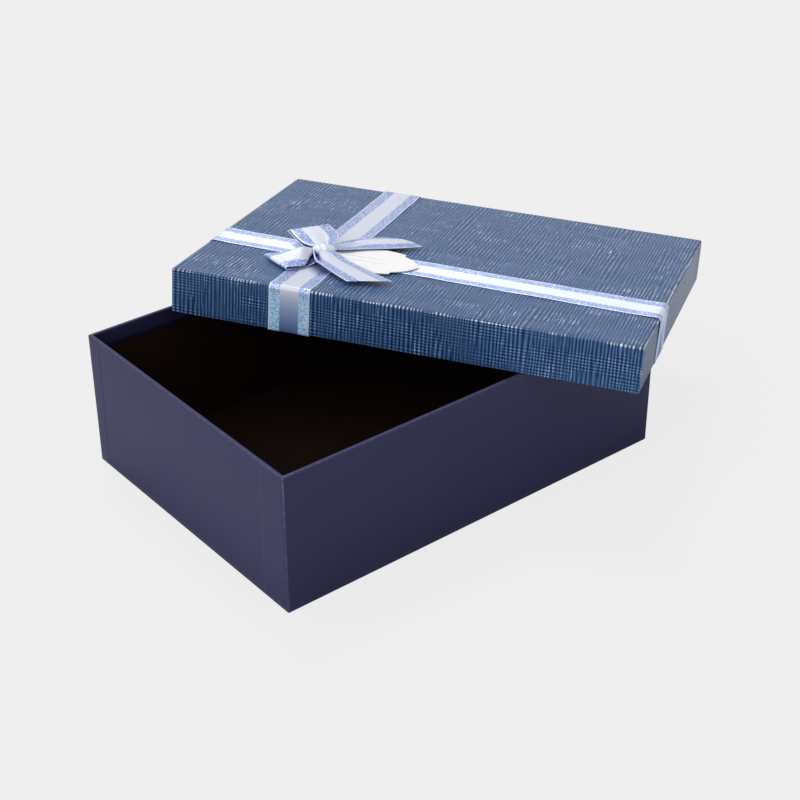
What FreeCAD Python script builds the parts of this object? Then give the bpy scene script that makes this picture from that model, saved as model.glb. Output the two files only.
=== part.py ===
import FreeCAD, Part
import math
import os

from FreeCAD import Matrix, Placement, Rotation, Vector

# A two-piece rigid gift box. The base stands on the floor with its open side up, and the lid
# lies askew and tilted across it, as a lid that has just been taken off and put down.
# Frame: millimetres, origin at the centre of the base's underside, +X along the base,
# +Y to its back, +Z up. The lid and all that it carries are made in the lid's own frame
# (origin at the centre of its lower rim, x along the lid, y across it, z towards its top)
# and are then laid on the base.

# ---- Base -------------------------------------------------------------------------------
BASE_LENGTH = 280.0
BASE_WIDTH = 200.0
BASE_HEIGHT = 89.0

# ---- Materials of both shells -----------------------------------------------------------
BOARD = 2.0                 # greyboard
PAPER = 0.3                 # wrapping paper
LINING = 0.3                # lining paper
TAPE = 0.15                 # stay tape over a board corner
BOARD_CORNER_RADIUS = 0.6   # crushed upright corner of the board
BASE_TURN_IN = 12.0         # depth of the wrap inside the base's rim
LID_TURN_IN = 10.0          # depth of the wrap inside the lid's rim
TURN_UNDER = 15.0           # width of the wrap under the base's floor
TAPE_REACH = 18.0           # how far a stay tape runs each way from its corner
TAPE_END_GAP = 4.0          # from the ends of a tape to the rim and the floor

# ---- Lid --------------------------------------------------------------------------------
LID_HEIGHT = 28.0
LID_CLEARANCE = 1.4         # from the base's side to the lid's inside, each side

# ---- How the lid lies on the base ---------------------------------------------------------
LID_HEADING = -57.4         # degrees from the base's length to the lid's length, seen from above
CORNER_ALONG = -32.6        # where the base's back right corner meets the lid's underside: along it
CORNER_TO_WALL = 5.6        # and how far inside the lid's back wall
REST_GAP = 0.3              # left between the lid and the base at each of the three rests

# ---- Ribbons on the lid -------------------------------------------------------------------
RIBBON_WIDTH = 26.0
RIBBON = 0.4                # thickness
RIBBON_TURN_IN = 9.0        # how far each end is turned in and glued inside the rim
CROSS_RIBBON_X = -66.3      # middle of the ribbon across the lid
LONG_RIBBON_Y_LEFT = -33.5  # middle of the ribbon along the lid, at the lid's left end
LONG_RIBBON_Y_RIGHT = -41.8 # and at its right end

# ---- Bow ----------------------------------------------------------------------------------
BOW_X = -70.0               # middle of the knot
BOW_Y = -45.0
BOW_GAP = 0.3               # between neighbouring pieces of the bow
FOLD = 0.8                  # thickness of a ribbon stretch of the bow
KNOT_LENGTH = 14.0
KNOT_WIDTH = 11.0
KNOT_HEIGHT = 5.0
KNOT_HEADING = 16.0         # degrees from the lid's length
KNOT_RADIUS = 2.0
LOOP_NECK = 6.0             # width of a loop or tail where it comes out of the knot
LOOP_FLARE = 19.0           # distance from the knot's middle at which it is the full ribbon
BACK_LOOP_HEADING = 130.0
BACK_LOOP_REACH = 30.0      # from the middle of the knot to the end fold
BACK_LOOP_RISE = 7.3        # height of the end fold over the loop's root
BACK_LOOP_OPENING = 3.0     # between the upper and lower layers at their widest
FRONT_LOOP_HEADING = -123.0
FRONT_LOOP_REACH = 36.5
FRONT_LOOP_RISE = 2.0
FRONT_LOOP_OPENING = 4.4
FRONT_TAIL_HEADING = -38.0
FRONT_TAIL_REACH = 49.5     # from the middle of the knot to the short side of the cut end
FRONT_TAIL_RISE = 0.6       # height of the cut end over the tail's root
FRONT_TAIL_SLANT = 13.0     # how much longer the long side of the cut end is
BACK_TAIL_HEADING = 44.0
BACK_TAIL_REACH = 56.0
BACK_TAIL_RISE = 2.4
BACK_TAIL_SLANT = 8.0
GLUE_RADIUS = 4.0
GLUE_X = -4.5               # the glue dot's place from the knot's middle
GLUE_Y = 2.5

# ---- Tag ----------------------------------------------------------------------------------
TAG_LENGTH = 57.4
TAG_WIDTH = 43.2            # across its middle
TAG_CARD = 0.5
TAG_BODY_LENGTH = 31.0      # between the notches
TAG_BODY_WIDTH = 37.0       # at the ends of the body, beside the notches
TAG_STEP = 3.2              # how far each notch cuts in
TAG_END_BULGE = 2.0         # how far the sides of the pointed ends swell
TAG_HEADING = 1.0           # degrees from the lid's length
TAG_HOLE_RADIUS = 1.5
TAG_HOLE_INSET = 4.5        # from the tag's left tip to the middle of its hole
TAG_GAP = 0.3               # between the tag and what it lies on or under
TIE_X = 8.2                 # the tie's place from the knot's middle
TIE_Y = 5.0
TIE_RADIUS = 0.5
TIE_KNOT_RADIUS = 2.0
TIE_KNOT = 0.7              # thickness of the tie's flattened knot

# ---- Worked out from the above --------------------------------------------------------------
LID_WALL = PAPER + BOARD + LINING
BASE_WALL = PAPER + BOARD + LINING
EDGE_RADIUS = BOARD_CORNER_RADIUS + PAPER
LID_LENGTH = BASE_LENGTH + 2 * (LID_CLEARANCE + LID_WALL)
LID_WIDTH = BASE_WIDTH + 2 * (LID_CLEARANCE + LID_WALL)
LID_TOP_UNDERSIDE = LID_HEIGHT - PAPER - BOARD - LINING
RIBBON_TOP = LID_HEIGHT + RIBBON
CROSSING_TOP = LID_HEIGHT + 2 * RIBBON
TAG_UNDERSIDE = CROSSING_TOP + TAG_GAP
TIE_KNOT_UNDERSIDE = TAG_UNDERSIDE + TAG_CARD + TAG_GAP
KNOT_UNDERSIDE = TAG_UNDERSIDE + TAG_CARD + TAG_GAP
TAIL_UNDERSIDE = TIE_KNOT_UNDERSIDE + TIE_KNOT + BOW_GAP
LOOP_UNDERSIDE = CROSSING_TOP + BOW_GAP
HIGH = LID_HEIGHT + 60.0    # above everything on the lid


# ---- Small helpers --------------------------------------------------------------------------
def block(length, width, low, high, x=0.0, y=0.0):
    """A box centred on (x, y) in plan, between two heights."""
    corner = Vector(x - length / 2, y - width / 2, low)
    return Part.makeBox(length, width, high - low, corner)


def rounded_block(length, width, low, high, radius, top_too=True):
    """A box with its upright edges rounded, and its top edges too where asked."""
    solid = block(length, width, low, high)
    edges = []
    for edge in solid.Edges:
        middle = edge.CenterOfMass
        upright = abs(middle.z - (low + high) / 2) < 1e-6
        top = abs(middle.z - high) < 1e-6
        if upright or (top and top_too):
            edges.append(edge)
    return solid.makeFillet(radius, edges)


def outline_prism(points, low, high):
    """A prism over a closed outline of (x, y) points."""
    corners = [Vector(x, y, low) for x, y in points]
    wire = Part.makePolygon(corners + corners[:1])
    return Part.Face(wire).extrude(Vector(0, 0, high - low))


def solids_of(shape):
    """The shape as one compound of its solids, without left-over seams."""
    clean = shape.removeSplitter()
    if len(clean.Solids) == 1:
        return clean.Solids[0]
    return Part.makeCompound(clean.Solids)


# ---- A wrapped board shell, used for the base and, upside down, for the lid -------------------
def board_envelope(length, width, low, high):
    """The space that the boards of a shell fill, with its crushed upright corners."""
    return rounded_block(length - 2 * PAPER, width - 2 * PAPER, low, high, BOARD_CORNER_RADIUS, False)


def wall_boards(length, width, low, high):
    """The long walls run the full length, and the short walls stand between them."""
    envelope = board_envelope(length, width, low, high)
    across = width / 2 - PAPER - BOARD / 2
    along = length / 2 - PAPER - BOARD / 2
    front = block(length, BOARD, low, high, 0, -across).common(envelope)
    back = block(length, BOARD, low, high, 0, across).common(envelope)
    left = block(BOARD, 2 * across - BOARD, low, high, -along, 0)
    right = block(BOARD, 2 * across - BOARD, low, high, along, 0)
    return front, back, left, right


def corner_tapes(length, width, low, high):
    """Four strips bent round the outside of the board corners."""
    inset = PAPER - TAPE
    outer = rounded_block(
        length - 2 * inset, width - 2 * inset, low, high, BOARD_CORNER_RADIUS + TAPE, False
    )
    skin = outer.cut(board_envelope(length, width, low, high))
    reach = TAPE_REACH
    tapes = []
    for side_x in (-1, 1):
        for side_y in (-1, 1):
            corner = block(2 * reach, 2 * reach, low, high, side_x * length / 2, side_y * width / 2)
            tapes.append(skin.common(corner).Solids[0])
    return Part.makeCompound(tapes)


def inner_ring(length, width, thickness, low, high):
    """A lining of the given thickness against the inside of the wall boards."""
    across_x = length - 2 * (PAPER + BOARD)
    across_y = width - 2 * (PAPER + BOARD)
    outer = block(across_x, across_y, low, high)
    return outer.cut(block(across_x - 2 * thickness, across_y - 2 * thickness, low, high))


# ---- Base -------------------------------------------------------------------------------------
def base_pieces():
    length, width, height = BASE_LENGTH, BASE_WIDTH, BASE_HEIGHT
    floor_top = PAPER + BOARD
    rim = height - PAPER
    front, back, left, right = wall_boards(length, width, floor_top, rim)
    bottom = board_envelope(length, width, PAPER, floor_top)
    tapes = corner_tapes(length, width, floor_top + TAPE_END_GAP, rim - TAPE_END_GAP)

    inside_x = length - 2 * (PAPER + BOARD)
    inside_y = width - 2 * (PAPER + BOARD)
    wrap = rounded_block(length, width, 0, height, EDGE_RADIUS)
    wrap = wrap.cut(board_envelope(length, width, PAPER, rim))
    wrap = wrap.cut(block(inside_x, inside_y, rim, height))
    wrap = wrap.cut(block(length - 2 * TURN_UNDER, width - 2 * TURN_UNDER, 0, PAPER))
    wrap = wrap.fuse(inner_ring(length, width, PAPER, height - BASE_TURN_IN, height))
    wrap = wrap.cut(tapes)

    wall_lining = inner_ring(length, width, LINING, floor_top, height - BASE_TURN_IN)
    floor_lining = block(inside_x - 2 * LINING, inside_y - 2 * LINING, floor_top, floor_top + LINING)
    underside = block(length - 2 * TURN_UNDER, width - 2 * TURN_UNDER, 0, PAPER)
    return {
        "base_bottom_board": bottom,
        "base_front_board": front,
        "base_back_board": back,
        "base_left_board": left,
        "base_right_board": right,
        "base_corner_tapes": tapes,
        "base_wrap_paper": wrap,
        "base_underside_paper": underside,
        "base_wall_lining": wall_lining,
        "base_floor_lining": floor_lining,
    }


# ---- Lid, in its own frame ----------------------------------------------------------------------
def lid_shell_pieces():
    length, width, height = LID_LENGTH, LID_WIDTH, LID_HEIGHT
    wall_top = height - PAPER - BOARD
    front, back, left, right = wall_boards(length, width, PAPER, wall_top)
    top = board_envelope(length, width, wall_top, height - PAPER)
    tapes = corner_tapes(length, width, PAPER + TAPE_END_GAP, wall_top - TAPE_END_GAP)

    inside_x = length - 2 * (PAPER + BOARD)
    inside_y = width - 2 * (PAPER + BOARD)
    wrap = rounded_block(length, width, 0, height, EDGE_RADIUS)
    wrap = wrap.cut(board_envelope(length, width, PAPER, height - PAPER))
    wrap = wrap.cut(block(inside_x, inside_y, 0, PAPER))
    wrap = wrap.fuse(inner_ring(length, width, PAPER, 0, LID_TURN_IN))
    wrap = wrap.cut(tapes)

    wall_lining = inner_ring(length, width, LINING, LID_TURN_IN, wall_top)
    top_lining = block(inside_x - 2 * LINING, inside_y - 2 * LINING, wall_top - LINING, wall_top)
    return {
        "lid_top_board": top,
        "lid_front_board": front,
        "lid_back_board": back,
        "lid_left_board": left,
        "lid_right_board": right,
        "lid_corner_tapes": tapes,
        "lid_wrap_paper": wrap,
        "lid_wall_lining": wall_lining,
        "lid_top_lining": top_lining,
    }


def lid_skin():
    """A skin one ribbon thick over the lid's top and walls, round its rim and up inside."""
    grow = 2 * RIBBON
    outer = rounded_block(LID_LENGTH + grow, LID_WIDTH + grow, -RIBBON, RIBBON_TOP, EDGE_RADIUS + RIBBON)
    body = rounded_block(LID_LENGTH, LID_WIDTH, 0, LID_HEIGHT, EDGE_RADIUS)
    clear_x = LID_LENGTH - 2 * LID_WALL
    clear_y = LID_WIDTH - 2 * LID_WALL
    hollow = block(clear_x - grow, clear_y - grow, -RIBBON, 0)
    inside = block(clear_x, clear_y, 0, RIBBON_TURN_IN)
    inside = inside.cut(block(clear_x - grow, clear_y - grow, 0, RIBBON_TURN_IN))
    return outer.cut(body).cut(hollow).fuse(inside)


def ribbon_pieces():
    skin = lid_skin()
    beyond_x = LID_LENGTH / 2 + 10
    beyond_y = LID_WIDTH / 2 + 10
    half = RIBBON_WIDTH / 2
    over = RIBBON_TOP + 10
    cross_slab = block(RIBBON_WIDTH, 2 * beyond_y, -10, over, CROSS_RIBBON_X, 0)
    cross = skin.common(cross_slab)

    # The ribbon along the lid runs slightly aslant over the top, straight from end to end,
    # and steps over the ribbon across.
    slope = (LONG_RIBBON_Y_RIGHT - LONG_RIBBON_Y_LEFT) / LID_LENGTH
    left_y = LONG_RIBBON_Y_LEFT - slope * (beyond_x - LID_LENGTH / 2)
    right_y = LONG_RIBBON_Y_RIGHT + slope * (beyond_x - LID_LENGTH / 2)
    outline = [
        (-beyond_x, left_y - half),
        (beyond_x, right_y - half),
        (beyond_x, right_y + half),
        (-beyond_x, left_y + half),
    ]
    slab = outline_prism(outline, -10, over)
    bridge = block(RIBBON_WIDTH + 4 * RIBBON, LID_WIDTH, LID_HEIGHT, CROSSING_TOP, CROSS_RIBBON_X, 0)
    along = skin.common(slab).fuse(bridge.common(slab)).cut(cross)
    return {"ribbon_cross": cross, "ribbon_long": along}


# ---- Bow, in the lid's frame ----------------------------------------------------------------------
def from_knot(shape, heading, low):
    """Turns a piece made along +x from the knot's middle to its heading, at its height."""
    piece = shape.copy()
    piece.Placement = Placement(Vector(BOW_X, BOW_Y, low), Rotation(Vector(0, 0, 1), heading))
    return piece


def knot_block(grow, low, high):
    """The knot's block, larger all round by grow, between two heights."""
    solid = block(KNOT_LENGTH + 2 * grow, KNOT_WIDTH + 2 * grow, 0, high - low)
    return from_knot(solid, KNOT_HEADING, low)


def bow_knot():
    solid = block(KNOT_LENGTH, KNOT_WIDTH, 0, KNOT_HEIGHT)
    return from_knot(solid.makeFillet(KNOT_RADIUS, solid.Edges), KNOT_HEADING, KNOT_UNDERSIDE)


def strip_plan(reach, slant):
    """The plan of a loop or tail: a narrow neck that flares to the full ribbon, and its end.

    A positive slant makes the left side longer, as seen from the knot, and a negative one
    the right side.
    """
    neck = LOOP_NECK / 2
    half = RIBBON_WIDTH / 2
    start = KNOT_WIDTH / 4
    outline = [
        (start, -neck),
        (LOOP_FLARE, -half),
        (reach + max(0.0, -slant), -half),
        (reach + max(0.0, slant), half),
        (LOOP_FLARE, half),
        (start, neck),
    ]
    return outline_prism(outline, -HIGH, HIGH)


def loop_side(reach, rise, opening, offset):
    """The side view of a loop's hollow, moved outwards by offset: out from the knot along
    the lower layer, round a small end fold, and back along the upper layer."""
    fold_radius = opening / 4
    end = reach - fold_radius - FOLD
    waist = end / 2
    middle = FOLD + fold_radius + rise
    low_root = Vector(0, 0, FOLD - offset)
    low_knee = Vector(waist, 0, FOLD + rise / 2 - offset)
    low_end = Vector(end, 0, middle - fold_radius - offset)
    tip = Vector(end + fold_radius + offset, 0, middle)
    high_end = Vector(end, 0, middle + fold_radius + offset)
    high_knee = Vector(waist, 0, FOLD + rise / 2 + opening + offset)
    high_root = Vector(0, 0, FOLD + 2 * fold_radius + offset)
    edges = [
        Part.LineSegment(low_root, low_knee).toShape(),
        Part.LineSegment(low_knee, low_end).toShape(),
        Part.Arc(low_end, tip, high_end).toShape(),
        Part.LineSegment(high_end, high_knee).toShape(),
        Part.LineSegment(high_knee, high_root).toShape(),
        Part.LineSegment(high_root, low_root).toShape(),
    ]
    return Part.Face(Part.Wire(edges))


def bow_loop(heading, reach, rise, opening):
    """A flattened loop of ribbon, cut to its plan and clear of the knot."""
    across = Vector(0, RIBBON_WIDTH, 0)
    outside = loop_side(reach, rise, opening, FOLD).extrude(across)
    hollow = loop_side(reach, rise, opening, 0.0).extrude(across)
    band = outside.cut(hollow)
    band.translate(Vector(0, -RIBBON_WIDTH / 2, 0))
    band = band.common(strip_plan(reach, 0.0))
    return from_knot(band, heading, LOOP_UNDERSIDE).cut(knot_block(BOW_GAP, 0, HIGH))


def bow_tail(heading, reach, rise, slant):
    """A tail rises gently in two straight stretches from the knot to its slanting cut end."""
    far = reach + abs(slant) + 1
    knee_rise = 0.6 * rise
    side = [
        Vector(0, 0, 0),
        Vector(LOOP_FLARE, 0, knee_rise),
        Vector(far, 0, rise),
        Vector(far, 0, rise + FOLD),
        Vector(LOOP_FLARE, 0, knee_rise + FOLD),
        Vector(0, 0, FOLD),
    ]
    band = Part.Face(Part.makePolygon(side + side[:1])).extrude(Vector(0, RIBBON_WIDTH, 0))
    band.translate(Vector(0, -RIBBON_WIDTH / 2, 0))
    band = band.common(strip_plan(reach, slant))
    return from_knot(band, heading, TAIL_UNDERSIDE).cut(knot_block(BOW_GAP, 0, HIGH))


def bow_pieces():
    glue_foot = Vector(BOW_X + GLUE_X, BOW_Y + GLUE_Y, CROSSING_TOP)
    return {
        "bow_glue_dot": Part.makeCylinder(GLUE_RADIUS, KNOT_UNDERSIDE - CROSSING_TOP, glue_foot),
        "bow_knot": bow_knot(),
        "bow_loop_back": bow_loop(
            BACK_LOOP_HEADING, BACK_LOOP_REACH, BACK_LOOP_RISE, BACK_LOOP_OPENING
        ),
        "bow_loop_front": bow_loop(
            FRONT_LOOP_HEADING, FRONT_LOOP_REACH, FRONT_LOOP_RISE, FRONT_LOOP_OPENING
        ),
        "bow_tail_front": bow_tail(
            FRONT_TAIL_HEADING, FRONT_TAIL_REACH, FRONT_TAIL_RISE, FRONT_TAIL_SLANT
        ),
        "bow_tail_back": bow_tail(
            BACK_TAIL_HEADING, BACK_TAIL_REACH, BACK_TAIL_RISE, -BACK_TAIL_SLANT
        ),
    }


# ---- Tag, in the lid's frame ------------------------------------------------------------------------
def tag_outline():
    """A plaque: swelling sides between four notches, and a pointed, swelling end at each side."""
    tip = TAG_LENGTH / 2
    notch = TAG_BODY_LENGTH / 2
    corner = TAG_BODY_WIDTH / 2
    inner = corner - TAG_STEP
    side = TAG_WIDTH / 2
    chord = math.hypot(tip - notch, inner)
    swell_x = (tip + notch) / 2 + TAG_END_BULGE * inner / chord
    swell_y = inner / 2 + TAG_END_BULGE * (tip - notch) / chord
    edges = []
    for turn in (1, -1):
        point = Vector(turn * tip, 0, 0)
        swell = Vector(turn * swell_x, turn * swell_y, 0)
        shoulder = Vector(turn * notch, turn * inner, 0)
        near_corner = Vector(turn * notch, turn * corner, 0)
        side_middle = Vector(0, turn * side, 0)
        far_corner = Vector(-turn * notch, turn * corner, 0)
        far_shoulder = Vector(-turn * notch, turn * inner, 0)
        far_swell = Vector(-turn * swell_x, turn * swell_y, 0)
        far_point = Vector(-turn * tip, 0, 0)
        edges.append(Part.Arc(point, swell, shoulder).toShape())
        edges.append(Part.LineSegment(shoulder, near_corner).toShape())
        edges.append(Part.Arc(near_corner, side_middle, far_corner).toShape())
        edges.append(Part.LineSegment(far_corner, far_shoulder).toShape())
        edges.append(Part.Arc(far_shoulder, far_swell, far_point).toShape())
    return Part.Wire(edges)


def tag_pieces():
    hole_x = TAG_HOLE_INSET - TAG_LENGTH / 2
    card = Part.Face(tag_outline()).extrude(Vector(0, 0, TAG_CARD))
    card = card.cut(Part.makeCylinder(TAG_HOLE_RADIUS, 3 * TAG_CARD, Vector(hole_x, 0, -TAG_CARD)))
    card.translate(Vector(-hole_x, 0, 0))
    card.Placement = Placement(
        Vector(BOW_X + TIE_X, BOW_Y + TIE_Y, TAG_UNDERSIDE), Rotation(Vector(0, 0, 1), TAG_HEADING)
    ).multiply(card.Placement)
    stitch = Vector(BOW_X + TIE_X, BOW_Y + TIE_Y, CROSSING_TOP)
    head = Vector(BOW_X + TIE_X, BOW_Y + TIE_Y, TIE_KNOT_UNDERSIDE)
    thread = Part.makeCylinder(TIE_RADIUS, TIE_KNOT_UNDERSIDE - CROSSING_TOP, stitch)
    thread = thread.fuse(Part.makeCylinder(TIE_KNOT_RADIUS, TIE_KNOT, head))
    return {"tag_tie": thread, "gift_tag": card}


# ---- Where the lid lies ----------------------------------------------------------------------------
def crossing(origin, direction, level_y):
    """Where a straight line in plan meets the line y = level_y."""
    step = (level_y - origin.y) / direction.y
    return origin + direction * step


def lid_frame(slope_x, slope_y):
    """The lid's axes and origin for a lower rim that rises by slope_x and slope_y, with the
    base's back right corner at its place against the lid's underside."""
    up = Vector(-slope_x, -slope_y, 1).normalize()
    heading = math.radians(LID_HEADING)
    along = Vector(math.cos(heading), math.sin(heading), 0)
    along.z = slope_x * along.x + slope_y * along.y
    along = along.normalize()
    across = up.cross(along)
    corner = Vector(BASE_LENGTH / 2, BASE_WIDTH / 2, BASE_HEIGHT)
    corner_y = LID_WIDTH / 2 - LID_WALL - CORNER_TO_WALL
    corner_z = LID_TOP_UNDERSIDE - REST_GAP
    origin = corner - along * CORNER_ALONG - across * corner_y - up * corner_z
    return origin, along, across, up


def rest_point(origin, direction, wall_side, rim_side, slope_x, slope_y):
    """The point at which a lid wall's lower edge comes closest to a rim of the base: the
    lowest corner of the patch in which the wall crosses the rim."""
    lowest = None
    for wall_shift in (0.0, LID_WALL):
        for rim_shift in (0.0, BASE_WALL):
            start = origin + wall_side * wall_shift
            point = crossing(start, direction, rim_side * (BASE_WIDTH / 2 - rim_shift))
            height = slope_x * point.x + slope_y * point.y
            if lowest is None or height < lowest[0]:
                lowest = (height, point)
    return lowest[1]


def lid_placement():
    """The lid rests at three places: the lower edge of its front wall on the base's front
    rim, the lower edge of its left wall on the base's back rim, and its underside on the
    base's back right corner. The slopes that meet all three are found by repeated solving."""
    slope_x = 0.0
    slope_y = 0.0
    for _ in range(80):
        origin, along, across, up = lid_frame(slope_x, slope_y)
        front_edge = origin - across * (LID_WIDTH / 2)
        left_edge = origin - along * (LID_LENGTH / 2)
        first = rest_point(front_edge, along, across, -1, slope_x, slope_y) - origin
        second = rest_point(left_edge, across, along, 1, slope_x, slope_y) - origin
        wanted = BASE_HEIGHT + REST_GAP - origin.z
        spread = first.x * second.y - first.y * second.x
        next_x = wanted * (second.y - first.y) / spread
        next_y = wanted * (first.x - second.x) / spread
        slope_x = (slope_x + next_x) / 2
        slope_y = (slope_y + next_y) / 2
    origin, along, across, up = lid_frame(slope_x, slope_y)
    matrix = Matrix(
        along.x, across.x, up.x, origin.x,
        along.y, across.y, up.y, origin.y,
        along.z, across.z, up.z, origin.z,
        0, 0, 0, 1,
    )
    return Placement(matrix)


def laid(shape, placement):
    """A piece of the lid, moved to where the lid lies."""
    piece = shape.copy()
    piece.Placement = placement.multiply(piece.Placement)
    return piece


# ---- The whole box ------------------------------------------------------------------------------------
def build():
    pieces = base_pieces()
    placement = lid_placement()
    on_the_lid = {}
    on_the_lid.update(lid_shell_pieces())
    on_the_lid.update(ribbon_pieces())
    on_the_lid.update(bow_pieces())
    on_the_lid.update(tag_pieces())
    for name, shape in on_the_lid.items():
        pieces[name] = laid(shape, placement)
    return pieces, placement


pieces, lid_place = build()
os.makedirs("parts", exist_ok=True)
for name, shape in pieces.items():
    solid = solids_of(shape)
    if not solid.isValid():
        raise ValueError(name + " is not a valid shape")
    solid.exportStep("parts/" + name + ".step")
    box = solid.BoundBox
    print(
        f"{name:22s} {len(solid.Solids)} solid(s) {solid.Volume:10.1f} mm3  "
        f"x {box.XMin:7.1f} {box.XMax:7.1f}  "
        f"y {box.YMin:7.1f} {box.YMax:7.1f}  "
        f"z {box.ZMin:6.1f} {box.ZMax:6.1f}"
    )

tie = lid_place.multVec(Vector(BOW_X + TIE_X, BOW_Y + TIE_Y, TAG_UNDERSIDE))
up = lid_place.Rotation.multVec(Vector(0, 0, 1))
print("lid origin", lid_place.Base, "lid up", up, "tilt", math.degrees(math.acos(up.z)))
print("tag hinge at", tie)
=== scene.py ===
# %% [markdown]
# # A two-piece gift box with its lid askew
#
# The real object is a rigid greyboard box covered in paper. Its base is plain navy outside and
# nearly black inside. Its lid is covered in a linen print and carries two ribbons, a tied bow and
# a small card tag. The lid has been put down slantwise, so it leans on two rims and one corner.
#
# The solids come ready made from the CAD model, and the stiff inner pieces only get a finish
# here. Paper, ribbon and bow are soft skins whose folds and rounded edges matter most to the eye,
# so they are worked out as surfaces with numpy.

# %% Load the frame
import math

import bmesh
import bpy
import numpy as np
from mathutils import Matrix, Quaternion, Vector


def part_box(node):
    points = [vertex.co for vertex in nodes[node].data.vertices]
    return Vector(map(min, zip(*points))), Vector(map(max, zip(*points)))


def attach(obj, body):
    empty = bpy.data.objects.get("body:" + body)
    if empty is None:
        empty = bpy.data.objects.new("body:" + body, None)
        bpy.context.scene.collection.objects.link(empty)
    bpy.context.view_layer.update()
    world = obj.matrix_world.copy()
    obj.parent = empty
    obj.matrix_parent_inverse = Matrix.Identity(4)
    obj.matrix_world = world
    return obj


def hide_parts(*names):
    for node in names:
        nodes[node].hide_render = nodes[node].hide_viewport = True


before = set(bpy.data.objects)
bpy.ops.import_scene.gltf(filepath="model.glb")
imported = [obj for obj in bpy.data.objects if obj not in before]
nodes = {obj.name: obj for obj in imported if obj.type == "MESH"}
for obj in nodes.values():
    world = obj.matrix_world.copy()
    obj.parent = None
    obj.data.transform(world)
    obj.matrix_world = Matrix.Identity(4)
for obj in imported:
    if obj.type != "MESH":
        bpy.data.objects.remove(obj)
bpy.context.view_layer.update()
MM = 0.001

# %% [markdown]
# ## Camera
#
# A product of this size is usually taken with a short telephoto lens from about a metre away, so
# that the far corners don't shrink much. The camera looks down on the box at about 31 degrees
# from a front corner.

# %% Camera
CAMERA_PLACE = Vector((-0.55198, -0.70869, 0.58374))
CAMERA_AIM = Vector((0.00943, -0.01279, 0.03842))
CAMERA_ROLL = math.radians(-0.242)
CAMERA_LENS = 76.26

camera_data = bpy.data.cameras.new("camera")
camera_data.lens = CAMERA_LENS
camera_data.sensor_width = 36.0
camera_data.clip_end = 50.0
camera = bpy.data.objects.new("camera", camera_data)
bpy.context.scene.collection.objects.link(camera)
look = (CAMERA_AIM - CAMERA_PLACE).to_track_quat("-Z", "Y")
camera.rotation_mode = "QUATERNION"
camera.rotation_quaternion = look @ Quaternion((0.0, 0.0, 1.0), CAMERA_ROLL)
camera.location = CAMERA_PLACE
bpy.context.scene.camera = camera
bpy.context.scene.view_settings.view_transform = "Standard"
print("camera looks from", tuple(round(x, 3) for x in CAMERA_PLACE))

# %% [markdown]
# ## Material helpers
#
# Every finish here is a small tree of nodes. A Field stands for a value that varies over a
# surface, and can be added, subtracted and multiplied like a number; the helpers read fields and
# give back new ones.

# %% Node helpers
def srgb(red, green, blue):
    """A colour given as it looks on a screen, 0 to 255, in the linear values that shaders use."""
    shown = np.array([red, green, blue]) / 255.0
    linear = np.where(shown <= 0.04045, shown / 12.92, ((shown + 0.055) / 1.055) ** 2.4)
    return (*linear, 1.0)


class Field:
    """What one output of a shader node gives, with sums and products of it."""

    def __init__(self, node, output=0):
        self.tree, self.socket = node.id_data, node.outputs[output]

    def __add__(self, other):
        return maths("ADD", self, other)

    def __sub__(self, other):
        return maths("SUBTRACT", self, other)

    def __rsub__(self, other):
        return maths("SUBTRACT", other, self)

    def __mul__(self, other):
        return maths("MULTIPLY", self, other)


def feed(socket, value):
    """Links a field to a socket, or sets the socket to a plain value."""
    if isinstance(value, Field):
        value.tree.links.new(value.socket, socket)
    else:
        socket.default_value = value


def add(tree, kind, inputs=None, **settings):
    """One shader node of that kind. An input may be a number, a colour or a field."""
    made = tree.nodes.new("ShaderNode" + kind)
    for name, value in settings.items():
        setattr(made, name, value)
    for name, value in (inputs or {}).items():
        feed(made.inputs[name], value)
    return made


def source(tree, kind, output, **settings):
    """A field that comes from the surface itself, such as a place on it or an attribute."""
    return Field(add(tree, kind, **settings), output)


def maths(operation, *values):
    """One step of arithmetic on numbers and fields, with at least one field among them."""
    tree = next(value.tree for value in values if isinstance(value, Field))
    return Field(add(tree, "Math", dict(enumerate(values)), operation=operation))


def mixed(factor, first, second):
    """A colour that goes from first to second as factor goes from 0 to 1."""
    return Field(add(factor.tree, "Mix", {0: factor, 6: first, 7: second}, data_type="RGBA"), 2)


def blend(factor, first, second):
    """A number that goes from first to second as factor goes from 0 to 1."""
    return Field(add(factor.tree, "Mix", {0: factor, 2: first, 3: second}))


def parts(place):
    """The three coordinates of a place, as a field each."""
    node = add(place.tree, "SeparateXYZ", {"Vector": place})
    return [Field(node, axis) for axis in "XYZ"]


def scaled(place, scale):
    """Coordinates stretched by a factor, or by one for each axis."""
    factors = scale if isinstance(scale, tuple) else (scale, scale, scale)
    return Field(add(place.tree, "Mapping", {"Vector": place, "Scale": factors}))


def noise(place, scale, detail=2.0, roughness=0.5):
    """Soft random values between 0 and 1, with about scale grains to each unit of place."""
    inputs = {"Vector": scaled(place, scale), "Scale": 1.0, "Detail": detail, "Roughness": roughness}
    return Field(add(place.tree, "TexNoise", inputs))


def stepped(value, low, high):
    """0 below low, 1 above high, and a smooth rise between."""
    inputs = {"Value": value, "From Min": low, "From Max": high}
    return Field(add(value.tree, "MapRange", inputs, interpolation_type="SMOOTHSTEP"))


def ramp(factor, stops):
    """A colour read from a list of (place, colour) stops, each colour as srgb takes it."""
    made = add(factor.tree, "ValToRGB", {"Fac": factor})
    elements = made.color_ramp.elements
    while len(elements) < len(stops):
        elements.new(0.5)
    for element, (place, colour) in zip(elements, stops):
        element.position = place
        element.color = srgb(*colour)
    return Field(made)


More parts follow.
